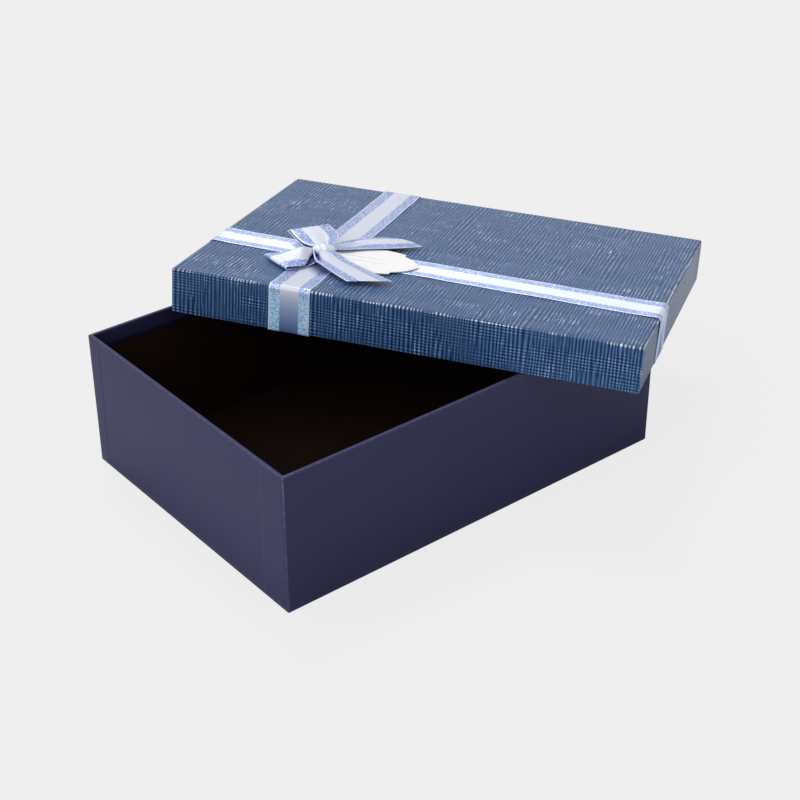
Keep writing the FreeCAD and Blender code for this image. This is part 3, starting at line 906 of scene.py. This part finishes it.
def ribbon_path(half, bottom_turn, lift_at_edge, crossing=None):
    """The path of a ribbon round the lid as (place along it, height), at the paper's surface.

    It stands off each top edge by lift_at_edge, so that it can bend round it, and comes back to
    the paper over the next 14 mm. A crossing is a place where it steps over the other ribbon.
    """
    top, wall = LID_HEIGHT, LID_WALL
    reach = 14 * MM
    inner = half - wall
    left = [
        (-inner + 0.2 * MM, bottom_turn),
        (-inner + 0.2 * MM, -0.2 * MM),
        (-half - REST, -0.2 * MM),
        (-half - REST, top - reach),
        (-half - lift_at_edge, top + lift_at_edge),
        (-half + reach, top + REST),
    ]
    middle = []
    radii = [0.6 * MM, 0.6 * MM, 20 * MM, RIBBON_BEND, 20 * MM]
    if crossing is not None:
        low, high = crossing
        step = 0.5 * MM
        middle = [
            (low - 2.5 * MM, top + REST),
            (low, top + REST + step),
            (high, top + REST + step),
            (high + 2.5 * MM, top + REST),
        ]
    right = [(-x, z) for x, z in left[::-1]]
    return rounded_path(left + middle + right, radii + [3 * MM] * len(middle) + radii[::-1], 6, 3 * MM)


def edge_flutter(v, t, seed):
    """A ribbon's edges lift unevenly by a tenth or two of a millimetre as they run along."""
    wave = np.sin(90 * v + seed) + 0.6 * np.sin(173 * v + 2.3 * seed)
    return 0.09 * MM * np.abs(t) ** 3 * (wave + 1.2)


def beside(x, y, start, end, reach):
    """1 on the line from start to end in plan, falling evenly to 0 at reach from it."""
    run = end - start
    share = np.clip(((x - start[0]) * run[0] + (y - start[1]) * run[1]) / (run @ run), 0, 1)
    gap = np.hypot(x - start[0] - share * run[0], y - start[1] - share * run[1])
    return np.clip(1 - gap / reach, 0, 1)


def ribbon_mesh(name, points, u, v):
    """A piece of ribbon from a grid of points in the lid's frame, and u and v at each of them."""
    faces = quads(*points.shape[:2])
    uv = np.stack(np.broadcast_arrays(u, v), axis=-1).reshape(-1, 2)[faces]
    return make_piece(name, on_lid(points), faces, "lid", ribbon, uv)


def ribbon_band(name, node, path, place, width, seed, shadow_under_bow=0.0):
    """Carries the path across the ribbon's width and lays it on the lid.

    place(along, across) gives the ribbon's point in plan; the height comes from the path. The
    flutter moves each point along the path's own normal. Beside the bow's front tail a painted
    shadow darkens the ribbon, and the last argument says how strongly; down the walls the ribbon
    is marked for painted shade.
    """
    t = np.linspace(-1, 1, ACROSS)[None, :]
    v = path_length(path)[:, None]
    tangent = np.gradient(path, v[:, 0], axis=0)
    tangent /= np.linalg.norm(tangent, axis=1)[:, None]
    normal = np.stack([-tangent[:, 1], tangent[:, 0]], axis=1)
    out = edge_flutter(v, t, seed)
    along = path[:, :1] + normal[:, :1] * out
    height = path[:, 1:] + normal[:, 1:] * out
    x, y = place(along, t * width / 2)
    piece = ribbon_mesh(name, np.stack([x, y, height], axis=-1), (t + 1) / 2, v)
    # Painted shade: 0 on the top, rising to 1 down each wall.
    fall = np.clip((LID_HEIGHT - 3 * MM - path[:, 1]) / (LID_HEIGHT - 3 * MM), 0, 1)
    mark(piece, "wall_shading", np.repeat(fall, ACROSS))
    # A painted shadow beside the bow's front tail, fading over its reach.
    tail_shadow = beside(x, y, KNOT_PLAN + SHADOW_START, KNOT_PLAN + SHADOW_END, SHADOW_REACH)
    mark(piece, "painted_shade", shadow_under_bow * np.minimum(1.2 * tail_shadow, 1))
    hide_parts(node)
    return thicken(piece, RIBBON_CLOTH, 1.0), v[-1, 0]


def lid_ribbon_across():
    low, high = in_lid("ribbon_cross")
    width = high[0] - low[0]
    middle = (high[0] + low[0]) / 2
    path = ribbon_path(LID_WIDTH / 2, 9 * MM, RIBBON_LIFT)

    def place(along, across):
        return middle + SLANT * along / LID_WIDTH - across, along + 0 * across

    piece, length = ribbon_band("ribbon_across", "ribbon_cross", path, place, width, 1.0, 0.9)
    return width, middle, length


def lid_ribbon_along(width, crossing_middle):
    own = lid_points("ribbon_long")
    ends = [own[side * own[:, 0] > 0.49 * LID_LENGTH][:, 1] for side in (-1, 1)]
    left_y, right_y = [(y.max() + y.min()) / 2 for y in ends]
    slope = (right_y - left_y) / LID_LENGTH
    over = (crossing_middle - width / 2, crossing_middle + width / 2)
    path = ribbon_path(LID_LENGTH / 2, 9 * MM, 0.75 * RIBBON_LIFT, over)

    def place(along, across):
        return along + 0 * across, (left_y + right_y) / 2 + slope * along + across

    piece, length = ribbon_band("ribbon_along", "ribbon_long", path, place, width, 3.4)
    return length


RIBBON_WIDTH, crossing_x, across_length = lid_ribbon_across()
along_length = lid_ribbon_along(RIBBON_WIDTH, crossing_x)
print("ribbons' width and two lengths", np.round([RIBBON_WIDTH, across_length, along_length], 4))

# %% [markdown]
# ## Bow
#
# The bow is one ribbon tied in a flat two-loop knot. Each loop leaves the knot gathered into a
# narrow neck, spreads to the full width, folds over at its end and comes back underneath. Each
# tail leaves the knot in the same way and ends in a slanting cut.
#
# A loop or tail is a ruled surface: a curve for each of its two edges, and straight lines
# between them. On top of that lie two gentle forms, an arch across the ribbon and the pleats of
# the neck, both strongest where they are gathered. The edge curves pass through a few places,
# given in millimetres from the knot's middle and over the lid's top.

# %% Bow helpers
KNOT_MIDDLE = np.array([KNOT_PLAN[0], KNOT_PLAN[1], LID_HEIGHT])
STRIP_ACROSS = 30


def smooth_curve(places, count):
    """A Catmull-Rom curve: each stretch is the cubic whose slope at a place is half the step
    from the place before to the place after. Given back at count even steps of its length."""
    padded = np.vstack([2 * places[0] - places[1], places, 2 * places[-1] - places[-2]])
    before, start, end, after = padded[:-3], padded[1:-2], padded[2:-1], padded[3:]
    t = np.linspace(0, 1, 24, endpoint=False)[:, None, None]
    cubic = 0.5 * (
        2 * start
        + (end - before) * t
        + (2 * before - 5 * start + 4 * end - after) * t**2
        + (3 * start - before - 3 * end + after) * t**3
    )
    curve = np.vstack([cubic.transpose(1, 0, 2).reshape(-1, places.shape[1]), places[-1:]])
    length = path_length(curve)
    even = np.linspace(0, length[-1], count)
    return np.stack([np.interp(even, length, column) for column in curve.T], axis=1)


def ribbon_strip(name, rows, count, tuck, shaded_end):
    """A stretch of the bow's ribbon between two edge curves.

    Each row is (left edge, right edge, arch, pleat, crease), with left and right as seen from
    the knot: the two places where the edges pass, how high the ribbon arches between them, how
    deep its pleats are, and how deep one crease near the right edge is, all in millimetres and
    0 where left out. The height between the edges is arch times (1 - t squared), plus pleat
    times a cosine of t, less the crease times a bell curve about t = 0.66, along the surface's
    own normal. Near the knot a share of the left side, tuck, is rolled under and out of sight.
    Painted shade darkens the ribbon deep in the crease and, over a given length from the
    strip's end, on the hidden ply near the knot.
    """
    table = np.array([[*left, *right, *(*forms, 0, 0)[:3]] for left, right, *forms in rows])
    curve = smooth_curve(table, count) * MM
    left, right = curve[:, None, 0:3], curve[:, None, 3:6]
    arch, pleat, crease = curve[:, 6:7], curve[:, 7:8], curve[:, 8:9]
    t = np.linspace(-1, 1, STRIP_ACROSS)[None, :]
    share = ((t + 1) / 2)[..., None]
    flat = left * (1 - share) + right * share
    normal = np.cross(right - left, np.gradient(flat, axis=0))
    normal /= np.linalg.norm(normal, axis=-1, keepdims=True) + 1e-12
    rise = arch * (1 - t**2) + pleat * np.cos(2.5 * math.pi * t) * (1 - t**4)
    dent = crease * np.exp(-(((t - 0.66) / 0.17) ** 2))
    points = flat + normal * (rise - dent)[..., None]
    v = path_length((left + right)[:, 0] / 2)[:, None]
    from_knot = np.minimum(v, v[-1] - v)
    rolled = tuck * np.exp(-((from_knot / (16 * MM)) ** 2)) * (1 - t) / 2
    piece = ribbon_mesh(name, points + KNOT_MIDDLE, (t + 1) / 2 + rolled, v)
    # Painted shade: in the crease, and on the hidden ply near the knot.
    dark = smooth_step(dent, 1.0 * MM, 3.0 * MM)
    if shaded_end:
        hidden = smooth_step(v, v[-1] - shaded_end, v[-1] - 0.6 * shaded_end)
        dark = np.maximum(dark, hidden * smooth_step(t, -0.96, -0.86))
    mark(piece, "painted_shade", dark)
    length = float(np.linalg.norm(np.diff(points, axis=0), axis=2).sum(axis=0).mean())
    print(name, "length", round(length, 4))
    return piece, length


def bow_piece(name, node, rows, count=60, tuck=0.0, shaded_end=0.0):
    """One strip of the bow in place of its CAD node, given the cloth's thickness."""
    piece, length = ribbon_strip(name, rows, count, tuck, shaded_end)
    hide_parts(node)
    cloth = thicken(piece, RIBBON_CLOTH, 0.0)


print("knot's middle in the lid's frame", np.round(KNOT_MIDDLE, 4))

# %% Bow loops
LOOP_BACK = [
    ((-5, 2.5, 5), (3, 7, 4.8), 0.8, 0.9),
    ((-9, 3.3, 5.4), (3.9, 12.9, 5), 0.9, 1),
    ((-13.2, 4.3, 5.8), (3.4, 19.2, 5.9), 0.8, 0.6),
    ((-17.2, 6.5, 6.6), (2.4, 24.6, 6.9), 0.6, 0.2),
    ((-22.4, 10.3, 8), (-1.2, 29.8, 8), 0.4),
    ((-26, 13.2, 9.7), (-8.6, 36, 9.1), 0.2),
    ((-27, 14.2, 9.3), (-9.9, 37.2, 8.5), 0.1),
    ((-27.6, 14.6, 7.9), (-8.4, 35.2, 7.4), 0.1),
    ((-19.6, 8.5, 5.3), (-0.6, 25.5, 5), 0.3, 0.1),
    ((-13.8, 4.9, 3.7), (2.4, 16, 3.8), 0.4, 0.4),
    ((-9, 2.6, 3.5), (2.4, 9, 3.4), 0.4, 0.6),
    ((-5, 1.5, 3.4), (1.5, 5, 3.4), 0.5, 0.6),
]
LOOP_FRONT = [
    ((-3.6, -7.4, 3.4), (-5.8, 2.4, 4), 1.6, 0.3),
    ((-2.9, -13.4, 3.9), (-9.4, 2.2, 3), 3.4, 0.2),
    ((-1.6, -19.6, 3.3), (-14.2, -1.6, 2.8), 5.2, 0.1),
    ((-1.7, -25, 2.4), (-18.8, -5.2, 2.6), 4.8),
    ((-5.2, -29.4, 2.8), (-23.2, -9.4, 2.6), 3),
    ((-9.3, -33, 3.1), (-29.6, -16.6, 3), 0.8),
    ((-10.2, -34.4, 2.4), (-30.7, -17.9, 2.4), 0.2),
    ((-9.4, -33.6, 1.4), (-29.6, -17, 1.7), 0.1),
    ((-5.2, -28.6, 1.1), (-21.6, -10.5, 1.2), 0.1),
    ((-0.6, -22.6, 1.2), (-14, -4.5, 1.3), 0.1),
    ((1.6, -15.6, 1.9), (-8.6, -0.6, 1.9), 0.2, 0.2),
    ((0.6, -8.5, 2.5), (-5, 0.5, 2.5), 0.3, 0.3),
]
bow_piece("loop_back", "bow_loop_back", LOOP_BACK, 84)
bow_piece("loop_front", "bow_loop_front", LOOP_FRONT, 84, tuck=0.30, shaded_end=24 * MM)

# %% Bow tails
TAIL_FRONT = [
    ((4, 2.2, 4.6), (-4.8, -0.5, 4.4), 0.4, 0.4),
    ((8, 1.2, 4.9), (-4.2, -4.4, 6.2), 0.2, 0.3, 4.2),
    ((12.2, -1.2, 4.6), (-1.4, -10.4, 5), 0.2, 0.3, 4),
    ((16.5, -4.2, 4.1), (2, -15.8, 3.2), 0.4, 0.2, 1),
    ((22, -8.4, 3.6), (7.2, -20.2, 3), 0.5, 0.1),
    ((38.6, -18.8, 3.4), (20.8, -32.2, 3), 0.5),
    ((56.4, -29.6, 3.3), (31.1, -40.6, 3), 0.3),
]
TAIL_BACK = [
    ((3.5, 9.5, 4), (4, 2.5, 4.2), 0.4, 0.6),
    ((4.4, 17, 4), (7.3, 7.2, 4), 0.5, 1),
    ((6.2, 26, 3.3), (13.8, 12.2, 3.6), 0.7, 0.9),
    ((8.8, 34.4, 2.6), (19.7, 17.9, 3.1), 0.9, 0.4),
    ((14, 42.5, 1.9), (27.3, 23.3, 2.9), 1.2),
    ((25.5, 49.6, 1.8), (39.1, 30.4, 2.8), 1.2),
    ((30, 51.2, 1.7), (53.1, 41.3, 2.8), 1.1),
]
bow_piece("tail_front", "bow_tail_front", TAIL_FRONT)
bow_piece("tail_back", "bow_tail_back", TAIL_BACK)

# %% [markdown]
# ## Knot
#
# The knot is the middle of the ribbon drawn tight round the necks of the loops: a small puffed
# band, full in the middle and pinched in at both ends. It is a tube round the knot's length whose
# section is a rounded box, with pleats that run round it.

# %% Knot
KNOT_HALF = (7.4 * MM, 5.8 * MM, 2.6 * MM)
KNOT_OFFSET = np.array([0.8, 2.1, 4.7]) * MM
KNOT_HEADING = math.radians(27)


def bow_knot_wrap():
    half_length, half_width, half_height = KNOT_HALF
    s = np.linspace(-1, 1, 30)[:, None]
    angle = np.linspace(0, 2 * math.pi, 48, endpoint=False)[None, :]
    swell = (1 - np.abs(s) ** 2.6) ** 0.5 + 0.02
    pleat = 1 + 0.05 * np.sin(9 * s + 0.8 * np.sin(angle))
    waves = np.cos(angle), np.sin(angle)
    round_x, round_z = (np.sign(wave) * np.abs(wave) ** 0.75 for wave in waves)
    x = half_length * s + 0 * angle
    y = half_width * swell * pleat * round_x
    z = half_height * swell * pleat * round_z
    turned_x = x * math.cos(KNOT_HEADING) - y * math.sin(KNOT_HEADING)
    turned_y = x * math.sin(KNOT_HEADING) + y * math.cos(KNOT_HEADING)
    points = on_lid(np.stack([turned_x, turned_y, z], axis=-1) + KNOT_OFFSET + KNOT_MIDDLE)
    faces = quads(*points.shape[:2], closed=True)[:, ::-1]
    uv_grid = np.stack([0.5 + 0.2 * np.sin(angle) + 0 * s, x], axis=-1).reshape(-1, 2)
    piece = make_piece("bow_knot_wrap", points, faces, "lid", ribbon, uv_grid[faces])
    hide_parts("bow_knot")
    return piece


bow_knot_wrap()
print("knot made")

# %% [markdown]
# ## Tag, thread and glue
#
# The tag is a small white card with a shaped outline, tied on through a punched hole that the bow
# hides. The card keeps its CAD shape; its finish is a smooth white board with a faint tooth and
# two fine ruled lines to write on. The thread is white cotton, and the bow is held by clear glue.

# %% Tag, thread and glue
LINE_GAP = 6.5 * MM
LINE_WIDTH = 0.35 * MM
LINE_LENGTH = 27 * MM


def ruled_lines(place):
    """1 on two fine lines along the tag, from its own length and width directions, else 0."""
    middle = mesh_points("gift_tag").mean(axis=0)
    offset = Field(add(place.tree, "VectorMath", {0: place, 1: tuple(-middle)}, operation="ADD"))

    def measured(axis):
        inputs = {0: offset, 1: tuple(axis)}
        return Field(add(place.tree, "VectorMath", inputs, operation="DOT_PRODUCT"), "Value")

    along, across = (measured(axis) for axis in spread_axes("gift_tag")[:2])
    from_line = maths("ABSOLUTE", maths("ABSOLUTE", across) - LINE_GAP / 2)
    near = maths("LESS_THAN", maths("ABSOLUTE", along), LINE_LENGTH / 2)
    return maths("LESS_THAN", from_line, LINE_WIDTH / 2) * near


def tag_card():
    material, tree, shader = new_material("tag_card")
    place = source(tree, "TexCoord", "Object")
    colour = mixed(noise(place, 120.0), srgb(246, 246, 248), srgb(253, 252, 253))
    colour = mixed(ruled_lines(place), colour, srgb(150, 158, 176))
    plug(shader, Base_Color=colour, Roughness=0.6, Specular_IOR_Level=0.35)
    plug(shader, Normal=bumped(noise(place, 1400.0), 0.02 * MM, 0.4))
    return material


def cotton():
    material, tree, shader = new_material("thread")
    twist = noise(source(tree, "TexCoord", "Object"), (1500.0, 1500.0, 5000.0))
    colour = mixed(twist, srgb(206, 208, 214), srgb(240, 241, 244))
    plug(shader, Base_Color=colour, Roughness=0.8, Normal=bumped(twist, 0.1 * MM, 0.6))
    return material


def clear_glue():
    material, tree, shader = new_material("glue")
    haze = noise(source(tree, "TexCoord", "Object"), 300.0)
    colour = mixed(haze, srgb(206, 200, 178), srgb(226, 222, 206))
    plug(shader, Base_Color=colour, Roughness=0.25, Subsurface_Weight=0.3, Subsurface_Scale=0.002)
    return material


finish_nodes(tag_card(), ["gift_tag"])
finish_nodes(cotton(), ["tag_tie"])
finish_nodes(clear_glue(), ["bow_glue_dot"])
print("tag, thread and glue finished")
